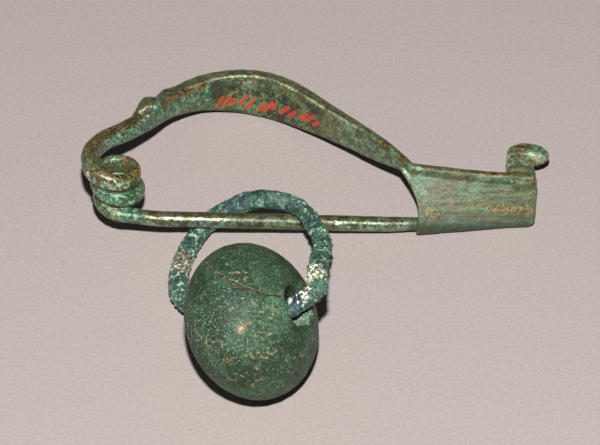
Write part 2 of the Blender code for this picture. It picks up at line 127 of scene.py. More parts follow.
def bulge(points, centre, reach):
    """1 at a place and less and less around it, in mm."""
    return np.exp(-((np.linalg.norm(points / MM - centre, axis=1) / reach) ** 2))


# Objects and dense skins
def put(name, data):
    """A new object in the scene."""
    made = bpy.data.objects.new(name, data)
    bpy.context.scene.collection.objects.link(made)
    return made


def baked(source, name):
    """The mesh that an object's modifiers give. The object itself goes."""
    graph = bpy.context.evaluated_depsgraph_get()
    mesh = bpy.data.meshes.new_from_object(source.evaluated_get(graph))
    bpy.data.objects.remove(source)
    mesh.name = name
    return mesh


def rows(items, what, width, kind):
    """One value of every point or edge of a mesh, a row each."""
    values = np.zeros(len(items) * width, kind)
    items.foreach_get(what, values)
    return values.reshape(-1, width)


class Skin:
    """A dense closed copy of one solid, whose points can be pushed about and given values."""

    def __init__(self, node, name, voxel, rounds):
        bm = bmesh.new()
        bm.from_mesh(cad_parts[node].data)
        bmesh.ops.remove_doubles(bm, verts=bm.verts, dist=SAME_POINT)
        mesh = bpy.data.meshes.new(name)
        bm.to_mesh(mesh)
        bm.free()
        solid = put(name, mesh)
        remesh = solid.modifiers.new("remesh", "REMESH")
        remesh.mode = "VOXEL"
        remesh.voxel_size = voxel
        remesh.use_smooth_shade = True
        self.mesh = baked(solid, name)
        self.object = put(name, self.mesh)
        self.points = rows(self.mesh.vertices, "co", 3, float)
        self.edges = rows(self.mesh.edges, "vertices", 2, np.int64)
        self.valence = np.bincount(self.edges.ravel(), minlength=len(self.points))[:, None]
        self.smooth(rounds)

    def average(self, values):
        """Each point's mean over its neighbours."""
        total = np.zeros_like(values)
        count = len(values)
        a, b = self.edges.T
        for k in range(values.shape[1]):
            total[:, k] = np.bincount(a, values[b, k], count) + np.bincount(b, values[a, k], count)
        return total / self.valence

    def spread(self, values, rounds):
        """Values evened out over their surroundings."""
        values = values[:, None] if values.ndim == 1 else values
        for _ in range(rounds):
            values = 0.5 * values + 0.5 * self.average(values)
        return values[:, 0] if values.shape[1] == 1 else values

    def smooth(self, rounds):
        """Evens out facets and keeps the thickness: each pass in is followed by one out."""
        for _ in range(rounds):
            for share in (PASS_IN, PASS_OUT):
                self.points = self.points + share * (self.average(self.points) - self.points)

    def write(self):
        self.mesh.vertices.foreach_set("co", self.points.astype(np.float32).ravel())
        self.mesh.update()

    def normals(self):
        self.write()
        return rows(self.mesh.vertex_normals, "vector", 3, np.float32).astype(float)

    def push(self, amount):
        """Moves the points along their normals by an amount each."""
        self.points = self.points + self.normals() * np.asarray(amount)[:, None]

    def edge_sign(self, rounds):
        """How far each point stands out of its surroundings, positive on edges and ridges."""
        return np.einsum("ij,ij->i", self.points - self.spread(self.points, rounds), self.normals())

    def give(self, **named):
        """Values at the points, which the materials read by their names."""
        for name, values in named.items():
            kind, part = ("FLOAT", "value") if values.ndim == 1 else ("FLOAT_VECTOR", "vector")
            attribute = self.mesh.attributes.new(name, kind, "POINT")
            attribute.data.foreach_set(part, values.astype(np.float32).ravel())

    def done(self, surface):
        """Keeps the skin inside the solids' box and gives it its material."""
        self.points = np.clip(self.points, np.array(before[0]), np.array(before[1]))
        self.write()
        self.mesh.materials.clear()
        self.mesh.materials.append(surface)
        self.mesh.shade_smooth()
        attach(self.object, "root")
        return self.object


# Materials as arithmetic
class Maths:
    """Builds a material's nodes from Python expressions."""

    def __init__(self, name):
        self.material = bpy.data.materials.new(name)
        self.material.use_nodes = True
        self.tree = self.material.node_tree
        self.shader = self.tree.nodes["Principled BSDF"]

    def node(self, kind, settings=None, **values):
        made = self.tree.nodes.new(kind)
        for key, value in (settings or {}).items():
            setattr(made, key, value)
        for key, value in values.items():
            self.feed(made.inputs[key.replace("_", " ")], value)
        return made

    def feed(self, socket, value):
        if isinstance(value, Term):
            self.tree.links.new(value.socket, socket)
        elif isinstance(value, (tuple, list)) and len(value) == 3 and len(socket.default_value) == 4:
            socket.default_value = (*value, 1)
        else:
            socket.default_value = value

    def arithmetic(self, operation, a, b):
        made = self.node("ShaderNodeMath", {"operation": operation})
        self.feed(made.inputs[0], a)
        self.feed(made.inputs[1], b)
        return Term(self, made.outputs[0])

    def vector(self, operation, place, amounts):
        made = self.node("ShaderNodeVectorMath", {"operation": operation})
        self.feed(made.inputs[0], place)
        made.inputs[1].default_value = amounts
        return Term(self, made.outputs[0])

    def attribute(self, name, output="Fac"):
        return Term(self, self.node("ShaderNodeAttribute", {"attribute_name": name}).outputs[output])

    def object_place(self):
        return Term(self, self.node("ShaderNodeTexCoord").outputs["Object"])

    def noise(self, place, size, detail=3.0, rough=0.55, warp=0.0, offset=None, stretch=None):
        """Noise with lumps of a size, read at an offset in m, and longer where stretch is under 1."""
        if offset:
            place = self.vector("ADD", place, offset)
        if stretch:
            place = self.vector("MULTIPLY", place, stretch)
        made = self.node(
            "ShaderNodeTexNoise", Vector=place, Scale=1 / size, Detail=detail, Roughness=rough,
            Distortion=warp)
        return Term(self, made.outputs["Fac"])

    def mix(self, a, b, share):
        """From colour a to colour b."""
        made = self.node("ShaderNodeMix", {"data_type": "RGBA"})
        self.feed(made.inputs[0], share)
        self.feed(made.inputs[6], a)
        self.feed(made.inputs[7], b)
        return Term(self, made.outputs[2])

    def band(self, x, low, high):
        """0 at low, 1 at high, eased between; low may be over high."""
        made = self.node("ShaderNodeMapRange", {"interpolation_type": "SMOOTHSTEP"})
        flip = low > high
        ends = (min(low, high), max(low, high), float(flip), float(not flip))
        for socket, value in zip(made.inputs, (x, *ends)):
            self.feed(socket, value)
        return Term(self, made.outputs[0])

    def lit(self, colour, stops):
        """A colour made brighter by a number of stops, or darker below 0."""
        made = self.node("ShaderNodeVectorMath", {"operation": "SCALE"})
        self.feed(made.inputs[0], colour)
        self.feed(made.inputs["Scale"], self.arithmetic("POWER", 2.0, stops))
        return Term(self, made.outputs[0])

    def bump(self, height, distance, strength=1.0):
        made = self.node("ShaderNodeBump", Height=height, Distance=distance, Strength=strength)
        return Term(self, made.outputs["Normal"])

    def set(self, **values):
        for key, value in values.items():
            self.feed(self.shader.inputs[key.replace("_", " ")], value)
        return self.material


class Term:
    """A node's output that can be added, multiplied and so on."""

    def __init__(self, maths, socket):
        self.maths = maths
        self.socket = socket

    def __add__(self, other):
        return self.maths.arithmetic("ADD", self, other)

    def __radd__(self, other):
        return self.maths.arithmetic("ADD", other, self)

    def __sub__(self, other):
        return self.maths.arithmetic("SUBTRACT", self, other)

    def __rsub__(self, other):
        return self.maths.arithmetic("SUBTRACT", other, self)

    def __mul__(self, other):
        return self.maths.arithmetic("MULTIPLY", self, other)

    def __rmul__(self, other):
        return self.maths.arithmetic("MULTIPLY", other, self)


def shade(*parts):
    """A colour given as a screen shows it: red, green and blue, 0 to 255."""
    shares = [part / 255 for part in parts]
    return tuple(share / 12.92 if share <= 0.04 else ((share + 0.055) / 1.055) ** 2.4 for share in shares)


# Grains scattered over a skin
def grain_tree(surface):
    """Small rounded stones strewn over a mesh, as thick as its "grit" value says."""
    tree = bpy.data.node_groups.new("grains", "GeometryNodeTree")
    face = tree.interface
    face.new_socket("Geometry", in_out="INPUT", socket_type="NodeSocketGeometry")
    for label in ("Per square metre", "Least size", "Greatest size"):
        face.new_socket(label, in_out="INPUT", socket_type="NodeSocketFloat")
    face.new_socket("Seed", in_out="INPUT", socket_type="NodeSocketInt")
    face.new_socket("Geometry", in_out="OUTPUT", socket_type="NodeSocketGeometry")

    def add(kind, settings=None, **inputs):
        made = tree.nodes.new(kind)
        for key, value in (settings or {}).items():
            setattr(made, key, value)
        for key, value in inputs.items():
            socket = made.inputs[key.replace("_", " ")]
            if isinstance(value, bpy.types.NodeSocket):
                tree.links.new(value, socket)
            else:
                socket.default_value = value
        return made

    given = add("NodeGroupInput").outputs
    grit = add("GeometryNodeInputNamedAttribute", {"data_type": "FLOAT"}, Name="grit").outputs["Attribute"]
    thick = add("ShaderNodeMath", {"operation": "MULTIPLY"})
    tree.links.new(grit, thick.inputs[0])
    tree.links.new(given["Per square metre"], thick.inputs[1])
    strewn = add("GeometryNodeDistributePointsOnFaces", Mesh=given["Geometry"], Density=thick.outputs[0],
                 Seed=given["Seed"])
    stone = add("GeometryNodeMeshIcoSphere", Radius=0.5, Subdivisions=1).outputs["Mesh"]
    size = add("FunctionNodeRandomValue", {"data_type": "FLOAT"}, Seed=given["Seed"])
    tree.links.new(given["Least size"], size.inputs[2])
    tree.links.new(given["Greatest size"], size.inputs[3])
    turn = add("FunctionNodeRandomValue", {"data_type": "FLOAT_VECTOR"}, Seed=given["Seed"])
    turn.inputs[1].default_value = (2 * pi,) * 3
    placed = add("GeometryNodeInstanceOnPoints", Points=strewn.outputs["Points"], Instance=stone,
                 Rotation=turn.outputs[0])
    tree.links.new(size.outputs[1], placed.inputs["Scale"])
    real = add("GeometryNodeRealizeInstances", Geometry=placed.outputs[0]).outputs[0]
    smooth = add("GeometryNodeSetShadeSmooth", Geometry=real).outputs[0]
    dressed = add("GeometryNodeSetMaterial", Geometry=smooth, Material=surface).outputs[0]
    add("NodeGroupOutput", Geometry=dressed)
    return tree


def strew(skin, name, surface, per_mm2, least, greatest, seed):
    """A piece made of the grains that lie on a skin; least and greatest are their sizes."""
    tree = grain_tree(surface)
    bed = put(name, skin.mesh)
    change = bed.modifiers.new("grains", "NODES")
    change.node_group = tree
    keys = {item.name: item.identifier for item in tree.interface.items_tree if item.in_out == "INPUT"}
    change[keys["Per square metre"]] = per_mm2 / MM**2
    change[keys["Least size"]] = least
    change[keys["Greatest size"]] = greatest
    change[keys["Seed"]] = seed
    mesh = baked(bed, name)
    if not mesh.materials:
        mesh.materials.append(surface)
    piece = put(name, mesh)
    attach(piece, "root")
    return piece


# The fibula
# Colour fields: their places in the fibula's own frame and their radii, in mm
GOLD = (
    ((12.2, 24.2, 10.9), (3.6, 3.4, 1.1)), ((15.8, 26.8, 10.8), (1.4, 1.5, 0.9)),
    ((9.4, 20.6, 10.4), (1.0, 1.2, 1.2)), ((46.2, 9.3, 10.2), (1.9, 1.9, 0.8)),
    ((49.3, 6.0, 9.6), (1.2, 1.2, 0.8)), ((64.8, 2.1, 9.5), (4.2, 1.0, 0.6)),
    ((68.0, 0.1, 3.5), (4.6, 1.0, 0.7)), ((54.6, -0.6, 2.4), (1.8, 1.0, 1.0)),
    ((70.7, 9.9, 10.2), (1.9, 1.0, 1.0)), ((1.2, 0.0, 8.3), (3.2, 1.1, 0.9)),
    ((4.2, 2.2, 7.6), (1.6, 2.4, 1.6)), ((53.5, 3.4, 9.6), (1.6, 1.0, 0.6)))
TEAL = (
    ((12.4, 23.6, 8.4), (3.4, 3.4, 1.5)), ((17.4, 27.2, 9.4), (1.6, 1.5, 2.0)),
    ((10.2, 21.4, 7.0), (2.0, 2.4, 2.0)), ((73.2, 9.6, 9.6), (2.4, 2.0, 1.4)),
    ((52.6, 2.6, 6.6), (1.3, 2.0, 2.6)), ((60.0, -1.2, 1.0), (7.0, 0.8, 0.6)),
    ((0.5, 1.0, 4.0), (6.5, 6.0, 1.5)), ((71.3, 7.0, 9.4), (1.0, 1.6, 1.0)),
    ((64.0, 1.0, 8.4), (9.0, 1.6, 0.6)), ((0.8, 6.6, 7.4), (2.6, 1.0, 2.4)),
    ((3.2, -0.6, 0.9), (2.6, 1.4, 1.6)))
# Pale bloom, and among it painted glints on the plate's corner and by the moulding's crease
PALE_BLOOM_AND_GLINTS = (
    ((24.6, 28.0, 10.3), (2.1, 1.5, 1.3)), ((48.6, 6.6, 8.6), (1.0, 1.0, 0.8)),
    ((-3.9, 1.0, 7.2), (1.4, 1.9, 1.4)), ((53.2, 1.9, 5.6), (0.5, 0.6, 0.5)),
    ((19.5, -0.8, 1.2), (0.5, 0.6, 0.5)), ((26.4, -1.3, -0.1), (0.5, 0.6, 0.5)),
    ((0.5, -0.9, 6.9), (4.4, 1.0, 1.0)), ((52.2, 3.7, 8.9), (1.2, 0.8, 0.5)),
    ((71.3, 10.2, 9.9), (0.9, 0.8, 0.6)), ((6.1, 16.7, 10.4), (0.7, 0.45, 0.5)))
# Dark spots, and painted shade in the moulding's crease
DARK_SPOTS_AND_SHADE = (
    ((18.9, 27.7, 9.4), (1.9, 1.6, 2.8)), ((5.4, 20.2, 11.2), (1.3, 1.0, 0.9)),
    ((35.2, 20.6, 9.9), (1.0, 1.0, 0.7)), ((3.2, 15.2, 10.2), (1.3, 1.3, 0.8)),
    ((5.9, 17.7, 10.7), (1.5, 0.8, 0.9)), ((21.4, 28.2, 9.9), (0.9, 1.0, 0.9)))
# Shapes of the worn moulding, and a swelling under the knob: place, reach and height in mm
MOULDING = (
    ((5.7, 19.9, 11.1), 1.7, 0.1), ((5.3, 17.4, 10.6), 0.6, -0.8), ((6.1, 17.7, 10.8), 0.55, -0.8),
    ((6.8, 18.2, 10.9), 0.5, -0.6), ((4.7, 17.6, 10.4), 0.5, -0.5), ((5.6, 15.9, 10.1), 0.5, 0.35),
    ((6.2, 16.6, 10.4), 0.55, 0.55), ((8.3, 19.2, 10.6), 0.9, 0.25), ((68.4, 8.2, 9.2), 1.2, 0.35),
    ((9.0, 20.0, 9.2), 0.8, 0.2), ((7.2, 17.6, 9.2), 0.8, -0.25))
# Painted dabs on the bow: five groups of short strokes, each from and to, in mm from the group's middle
DAB_PLACES = (
    (20.5, 7.2), (24.3, 7.2), (27.8, 7.1), (31.3, 7.5), (34.6, 8.1))
DABS = (
    ((-1.5, -0.9, -0.5, 0.7), (-0.4, -1.2, 0.7, 1.0), (0.9, -0.8, 1.5, 0.3)),
    ((-1.2, -0.6, -0.1, 1.1), (0.0, -1.1, 1.2, 0.7)),
    ((-1.3, -1.1, -0.5, 0.1), (-0.4, -1.0, 0.8, 0.9), (0.8, -0.2, 1.4, 0.9)),
    ((-1.2, -0.9, 0.1, 1.0), (0.1, -0.9, 1.1, 0.5)),
    ((-1.3, -0.9, -0.4, 0.5), (-0.3, -0.8, 0.8, 1.0), (0.8, -0.9, 1.5, 0.1)))
DAB_STROKE = 0.26
DAB_SOFT = 0.08
NO_DAB = 9.0
# The inner face's painted stretch, its middle and half length, and the varnish under the dabs, in mm
FACE_MIDDLE = 28.0
FACE_HALF_LENGTH = (20, 17)
VARNISH_HALF_LENGTH = 9.5
VARNISH_Z = 6.5
VARNISH_HALF_HEIGHT = 4.2
VARNISH_SLOPE = 0.1
VARNISH_LEVEL_X = 20

# Stretches over which a part of the fibula begins, from none to all of it, in mm along its own axes
NECK_X = (66.5, 67.5)
NECK_Y = (4.2, 5.2)
NECK_TOP_Y = (9.6, 8.2)
PLATE_X = (49.5, 51.5)
PLATE_Y = (9.5, 5.0)
HEAD_X = (9.5, 7.5)
HEAD_Y = (8.0, 10.0)
CROWN_X = (5.6, 4.0)
BEND_X = (-1.5, -3.0)
BEND_Y = (3.0, 5.5)
BEND_Z = (7.0, 8.5)
PIN_X = (4.0, 6.0)
PIN_Y = (2.2, 1.6)
COIL_X = (7.0, 5.0)
COIL_Y = (18.0, 14.0)
ROLL_Y = (0.2, -1.4)
ARRIS_NEAR_X = (10, 14)
ARRIS_FAR_X = (47, 40)
ARRIS_Z = (9.0, 10.0)
STRIP_X = (51, 48)
STRIP_Z = (9.5, 11.0)
FAR_NEAR_X = (36.5, 40)
FAR_END_X = (51.5, 50)
# Painted shade in the coil: its middle, and the inside of its top turn and the turns below, by distance from
# it
COIL_MIDDLE = (0.4, 3.2)
COIL_FLATNESS = 1.1
TOP_TURN = (2.4, 1.9)
TOP_TURN_Z = (9.0, 8.0)
LOWER_TURNS = (3.4, 2.9)
LOWER_TURNS_Z = (7.4, 6.8)
# How much a face has to look up, or to the bow's inner side, for what lies on it
LOOKS_UP = (0.35, 0.9)
LOOKS_IN = (0.5, 0.9)
INNER_SIDE = (0.64, -0.76, 0.1)
# Depths of the bronze's unevenness, in mm
DENTS = 0.05
FINE_DENTS = 0.028
NECK_DENTS = 0.05
GROOVES = 0.05
PITS = 0.08
# The plate's grooves are ten times as long as wide
ALONG_PLATE = (0.1, 1, 1)
# How often the neck is evened out, and over how many rounds an edge stands out
NECK_ROUNDS = 14
EDGE_ROUNDS = 10

# Tones of the bronze: a noise mixes each pair
PATINA = (shade(76, 86, 58), shade(90, 118, 90))
SAGE = shade(112, 128, 100)
UMBER = shade(104, 84, 48)
PLATE_LIGHT = shade(104, 124, 80)
PLATE_BROWN = shade(98, 82, 52)
PLATE_GREEN = shade(74, 106, 78)
PIN_TONES = (shade(120, 116, 90), shade(136, 168, 146))
BROWN_TONES = (shade(82, 70, 46), shade(140, 122, 84))
TEAL_TONES = (shade(62, 98, 78), shade(112, 158, 128))
NECK_TONES = (shade(118, 132, 102), shade(166, 180, 146))
NECK_STAIN = shade(110, 80, 52)
GOLD_TONES = (shade(84, 66, 36), shade(150, 124, 78))
GOLD_TARNISH = shade(92, 104, 74)
# Pale bloom, and painted glints
PALE_AND_GLINT_TONES = (shade(108, 124, 102), shade(168, 182, 158))
FAR_TONES = (shade(96, 110, 80), shade(126, 150, 122))
VARNISH_TONES = (shade(24, 38, 16), shade(100, 114, 74))
# Dark spots, and painted shade in the moulding's crease
DARK_AND_SHADE_TONE = shade(32, 36, 24)
# Painted shade on the bow's upper edge, and a painted highlight on its outer rim
SHADED_STRIP_TONES = (shade(70, 72, 48), shade(118, 124, 92))
LIT_RIM_TONES = (shade(104, 102, 70), shade(136, 152, 120))
SPECK = shade(38, 42, 28)
# Paler worn edges, which also carry a painted highlight along the bow's arris
WORN_EDGE_AND_HIGHLIGHT = shade(200, 186, 146)
# Painted shade in creases
CREVICE_SHADE = shade(26, 30, 20)
# Painted shade on faces that look down
UNDERSIDE_SHADE = shade(44, 26, 14)
# Painted shade inside the coil
COIL_INSIDE_SHADE = shade(84, 88, 58)
ROLL_SHADE = shade(44, 66, 48)
RED_PAINT = (shade(226, 58, 34), shade(160, 52, 34))


def local_points(points):
    """Points in the fibula's own frame."""
    return (points - np.array(FIBULA_PLACE)) @ np.array(FIBULA_TURN.to_matrix())


def dab_distance(place):
    """Distance from the painted strokes, measured across the bow's inner face."""
    flat = place[:, (0, 2)] / MM
    best = np.full(len(place), NO_DAB)
    for (x, z), strokes in zip(DAB_PLACES, DABS):
        for x0, z0, x1, z1 in strokes:
            path = ((x + x0, z + z0), (x + x1, z + z1))
            best = np.minimum(best, line_distance(flat, path)[0])
    return best


def make_fibula():
    skin = Skin("fibula", "fibula_bronze", FIBULA_VOXEL, FIBULA_ROUNDS)
    place = local_points(skin.points)
    x, y, z = place.T / MM
    # The neck below the knob is worn smooth
    neck = smoothstep(*NECK_X, x) * smoothstep(*NECK_Y, y)
    skin.points = skin.points + neck[:, None] * (skin.spread(skin.points, NECK_ROUNDS) - skin.points)
    facing = skin.normals() @ np.array(FIBULA_TURN.to_matrix())
    plate = smoothstep(*PLATE_X, x) * smoothstep(*PLATE_Y, y)
    moulding = sum(height * bulge(place, centre, reach) for centre, reach, height in MOULDING)
    # Hammered unevenness everywhere, long grooves on the catch plate, and pits
    dents = fractal(place, size=5 * MM, octaves=2, seed=1) * DENTS
    fine_dents = fractal(place, size=1.3 * MM, octaves=2, seed=2) * (FINE_DENTS + NECK_DENTS * neck)
    grooves = fractal(place * ALONG_PLATE, size=1.1 * MM, octaves=2, seed=3) * GROOVES
    pitted = smoothstep(0.1, 0.6, fractal(place, size=3 * MM, octaves=2, seed=5))
    pits = smoothstep(0.35, 0.1, cells(place, size=1.1 * MM, seed=4)) * pitted
    skin.push((dents + fine_dents + grooves * plate - pits * PITS + moulding) * MM)
    edge = skin.edge_sign(EDGE_ROUNDS) / MM
    # Which part of the fibula each point is on
    head = smoothstep(*HEAD_X, x) * smoothstep(*HEAD_Y, y)
    crown = head * smoothstep(*CROWN_X, x)
    bend = smoothstep(*BEND_X, x) * smoothstep(*BEND_Y, y) * smoothstep(*BEND_Z, z)
    from_middle = np.hypot(x - COIL_MIDDLE[0], (y - COIL_MIDDLE[1]) * COIL_FLATNESS)
    lower = smoothstep(*LOWER_TURNS, from_middle) * smoothstep(*LOWER_TURNS_Z, z)
    inside = np.maximum(smoothstep(*TOP_TURN, from_middle) * smoothstep(*TOP_TURN_Z, z), lower)
    pin = smoothstep(*PIN_X, x) * smoothstep(*PIN_Y, y) * (1 - plate)
    coil = smoothstep(*COIL_X, x) * smoothstep(*COIL_Y, y) + neck
    arris = smoothstep(*ARRIS_NEAR_X, x) * smoothstep(*ARRIS_FAR_X, x) * smoothstep(*ARRIS_Z, z)
    # The bow's upper edge, which faces away from the flash, gets painted shade
    strip = smoothstep(-0.4, -0.1, facing[:, 1]) * smoothstep(*STRIP_Z, z) * smoothstep(*STRIP_X, x)
    low = smoothstep(*ROLL_Y, y) * plate * smoothstep(0.1, 0.7, -facing[:, 1])
    # Fields of colour
    up = smoothstep(*LOOKS_UP, facing[:, 2])
    gold = np.maximum(field(place, *GOLD), np.maximum(crown, bend) * up * 0.75 - 0.3)
    brown = np.maximum(pin * up, np.maximum(bend, crown) * 0.6)
    inner = smoothstep(*LOOKS_IN, facing @ np.array(INNER_SIDE))
    teal = np.maximum(field(place, *TEAL), head * inner * 1.3 - 0.3)
    far = smoothstep(*FAR_NEAR_X, x) * smoothstep(*FAR_END_X, x) * (1 - smoothstep(0.0, 0.3, gold))
    # The painted dabs and the varnish under them, on the bow's inner face
    along = np.abs(x - FACE_MIDDLE)
    on_face = smoothstep(0.2, 0.5, -facing[:, 1] - 0.3 * facing[:, 0]) * smoothstep(*FACE_HALF_LENGTH, along)
    dab = np.where(on_face > 0.5, dab_distance(place), NO_DAB)
    height = z - VARNISH_Z - VARNISH_SLOPE * (x - VARNISH_LEVEL_X)
    from_dabs = np.maximum(along / VARNISH_HALF_LENGTH, height / VARNISH_HALF_HEIGHT)
    skin.give(
        place=place, edge=edge, plate=plate, gold=gold, teal=teal, pale=field(place, *PALE_BLOOM_AND_GLINTS),
        dark=field(place, *DARK_SPOTS_AND_SHADE), brown=brown, inside=inside, strip=strip, back=facing[:, 1], pin=pin,
        neck=neck * smoothstep(*NECK_TOP_Y, y), coil=coil, low=low, arris=arris, dab=dab,
        varnish=on_face * (1.15 - from_dabs), far=far, under=smoothstep(-0.1, -0.6, facing[:, 2]))
    piece = skin.done(bronze())
    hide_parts("fibula")
    return piece


def bronze():
    m = Maths("patinated_bronze")
    place = m.attribute("place", "Vector")
    edge, plate = m.attribute("edge"), m.attribute("plate")
    broad = m.noise(place, size=5 * MM, detail=4, rough=0.6, warp=0.6)
    patches = m.noise(place, size=2.4 * MM, detail=5, rough=0.62, warp=0.8, offset=(0.03, 0.01, 0))
    blots = m.noise(place, size=1.3 * MM, detail=4, rough=0.65, warp=0.6, offset=(0.07, 0.02, 0.01))
    specks = m.noise(place, size=0.6 * MM, detail=3, rough=0.65)
    fine = m.noise(place, size=0.27 * MM, detail=2, rough=0.6, offset=(0.01, 0.05, 0))
    streaks = m.noise(place, size=0.9 * MM, detail=5, rough=0.7, stretch=(0.14, 1, 1))
    bright_streaks = m.noise(
        place, size=0.7 * MM, detail=4, rough=0.7, offset=(0.02, 0, 0.03), stretch=(0.12, 1, 1))
    ragged = specks * 1.0 + patches * 0.9 - 0.95

    colour = m.mix(*PATINA, m.band(patches, 0.4, 0.6))
    colour = m.mix(colour, SAGE, m.band(blots, 0.52, 0.68) * 0.8)
    colour = m.mix(colour, UMBER, m.band(broad + specks * 0.5, 0.76, 0.88) * 0.8)
    # Streaks on the plate
    colour = m.mix(colour, PLATE_LIGHT, m.band(bright_streaks, 0.42, 0.62) * plate * 0.85)
    colour = m.mix(colour, PLATE_BROWN, m.band(streaks + specks * 0.3, 0.64, 0.74) * plate * 0.85)
    colour = m.mix(colour, PLATE_GREEN, m.band(streaks - specks * 0.2, 0.36, 0.28) * plate * 0.7)
    # The pin, the brown and teal fields, and the neck
    on_pin = m.attribute("pin")
    colour = m.mix(colour, m.mix(*PIN_TONES, m.band(blots, 0.44, 0.58)), on_pin * 0.9)
    colour = m.mix(colour, m.mix(*BROWN_TONES, specks), m.attribute("brown") * 0.7)
    teal = m.band(m.attribute("teal") + ragged * 1.6, 0.0, 0.35)
    colour = m.mix(colour, m.mix(*TEAL_TONES, m.band(specks, 0.4, 0.66)), teal * (0.85 - plate * 0.25))
    mottled = m.mix(*NECK_TONES, m.band(blots, 0.4, 0.6))
    mottled = m.mix(mottled, NECK_STAIN, m.band(patches, 0.55, 0.62) * 0.8)
    colour = m.mix(colour, mottled, m.attribute("neck") * 0.9)
    # Bare golden metal, pale bloom with painted glints, varnish, and dark spots with painted shade in a
    # crease
    gold = m.band(m.attribute("gold") + ragged * 1.8, 0.0, 0.3)
    golden = m.mix(*GOLD_TONES, m.band(specks + fine * 0.4, 0.56, 0.84))
    golden = m.mix(golden, GOLD_TARNISH, m.band(blots, 0.54, 0.64) * 0.7)
    colour = m.mix(colour, golden, gold * 0.9)
    # Pale bloom, with painted glints on the plate's corner and by the moulding's crease
    pale = m.band(m.attribute("pale") + ragged * 1.2, 0.05, 0.4)
    colour = m.mix(colour, m.mix(*PALE_AND_GLINT_TONES, m.band(specks, 0.4, 0.65)), pale * 0.85)
    far = m.band(m.attribute("far"), 0.0, 1.0)
    colour = m.mix(colour, m.mix(*FAR_TONES, m.band(blots, 0.42, 0.6)), far * 0.5)
    varnish = m.band(m.attribute("varnish") + ragged * 0.9, 0.05, 0.45)
    colour = m.mix(colour, m.mix(*VARNISH_TONES, m.band(patches + specks * 0.6, 0.7, 0.94)), varnish * 0.8)
    # Dark spots, and painted shade in the moulding's crease
    dark = m.band(m.attribute("dark") + ragged * 1.6, 0.05, 0.4)
    colour = m.mix(colour, DARK_AND_SHADE_TONE, dark * 0.8)
    # The bow's upper edge in painted shade, with a painted highlight on its paler outer rim
    lit_rim = m.band(m.attribute("back") + blots * 0.1, 0.86, 1.0)
    lit_rim_tones = m.mix(*LIT_RIM_TONES, m.band(blots, 0.4, 0.6))
    colour = m.mix(colour, m.mix(m.mix(*SHADED_STRIP_TONES, blots), lit_rim_tones, lit_rim), m.attribute("strip") * 0.9)
    # Worn edges with a painted highlight, specks, painted shade in creases, below and in the coil, grain
    colour = m.mix(colour, SPECK, m.band(specks, 0.4, 0.3) * 0.7)
    # Worn edges paler, with a painted highlight along the bow's arris
    worn_and_highlight = m.band(edge + fine * 0.06 + blots * 0.05, 0.085, 0.15) * (m.attribute("arris") * 0.8 + 0.2)
    colour = m.mix(colour, WORN_EDGE_AND_HIGHLIGHT, worn_and_highlight * 0.9)
    # Painted shade in creases
    colour = m.mix(colour, CREVICE_SHADE, m.band(edge, -0.03, -0.12) * 0.8)
    # Painted shade on the faces that look down, less on the pin
    colour = m.mix(colour, UNDERSIDE_SHADE, m.attribute("under") * (0.65 - on_pin * 0.4))
    # Painted shade inside the coil
    colour = m.mix(colour, COIL_INSIDE_SHADE, m.attribute("inside") * 0.7)
    coil = m.attribute("coil")
    sharp = specks * 2.8 + fine * 3.6
    sharp = sharp * (1 - plate * 0.2 + coil * 0.5)
    colour = m.lit(colour, blots * 2.0 + sharp + plate * 0.6 - coil * 1.4 - 4.1)
    colour = m.mix(colour, ROLL_SHADE, m.attribute("low") * 0.72)
    # Red paint
    dab = m.attribute("dab") + (specks - 0.5) * 0.8 + (fine - 0.5) * 0.6
    paint = m.band(dab, DAB_STROKE + DAB_SOFT, DAB_STROKE - DAB_SOFT)
    colour = m.mix(colour, m.mix(*RED_PAINT, m.band(fine + blots, 1.0, 1.2)), paint * 0.95)

    normal = m.bump((specks * 0.6 + fine * 0.5) * (1 - on_pin * 0.45), distance=0.13 * MM, strength=0.9)
    rough = 0.24 + fine * 0.2 + varnish * 0.08 + plate * 0.18 - on_pin * 0.02 + dark * 0.25
    metal = (gold * 0.3 + on_pin * 0.5 + coil * 0.12 + 0.1) * (1 - paint) * (1 - varnish * 0.8)
    return m.set(Base_Color=colour, Roughness=rough, Metallic=metal, Normal=normal, Specular_IOR_Level=0.7)


# The ring
# Colour fields: places and radii in mm
GLOSSY = (((-1.4, -19.4, 18.8), (3.0, 3.4, 3.2)), ((-3.4, -23.4, 19.0), (2.6, 2.6, 2.0)))
BLUE = (((-3.4, -25.6, 17.4), (2.2, 2.4, 2.6)), ((-14.0, 7.4, 6.0), (6.0, 2.4, 2.4)))
PINK = (((-22.8, -3.6, 3.2), (2.4, 3.4, 3.0)), ((-21.0, -5.5, 3.5), (1.5, 1.5, 2.0)))
# The groove across the near side: its line, width and depth in mm
CUT = ((-0.8, -10.7, 14.4), (0.6, -9.4, 14.0), (1.6, -8.2, 13.2))
CUT_WIDTH = 0.4
CUT_DEPTH = 0.35
# The near side is ribbed like a twisted wire, and it and the left end are gritty: stretches in mm
NEAR_X = (-6.0, -1.5)
NEAR_Y = (6, 2)
RIBS_Y = (-24, -20)
LEFT_X = (-19, -21)
BACK_Y = (6.5, 9.0)
OFF_FLOOR = (0.5, 1.2)
RIB_PITCH = 1.15
RIB_SLANT = 0.16
RIB_HEIGHT = 0.2
RIB_LEVEL = 0.6
ALONG_ROUNDS = 4
# Heights of the crust's lumps and nodules, and how far it lies under the solid's face, in mm
LUMPS = 0.14
FINE_LUMPS = 0.09
NODULES = 0.2
CRUST_SUNK = 0.1
RING_EDGE_ROUNDS = 8

